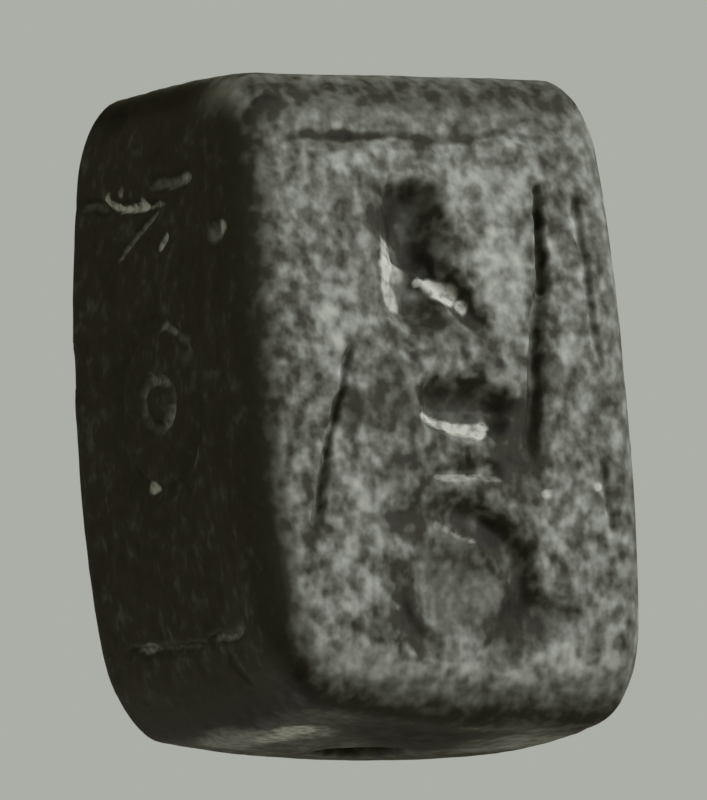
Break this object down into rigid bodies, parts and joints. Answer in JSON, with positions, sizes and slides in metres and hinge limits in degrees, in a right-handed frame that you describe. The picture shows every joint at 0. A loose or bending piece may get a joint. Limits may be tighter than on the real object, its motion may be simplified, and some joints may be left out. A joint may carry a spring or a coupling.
{
  "type": "stone seal",
  "caption": "Four-sided prism bead seal of dark mottled stone, worn round at its edges, with a string hole and signs cut into its faces.",
  "frame": {"origin": "middle of the bead's flat back, where it lies on a surface", "axes": "+Z out of the engraved upper face, +Y along the bead to its head end, +X to the right of the engraved figure"},
  "size_m": [0.0102, 0.0162, 0.0099],
  "materials": {
    "stone": "dark grey mottled soapstone, rubbed to a dull polish"
  },
  "bodies": {
    "root": {"stone_seal": "stone"}
  },
  "joints": []
}
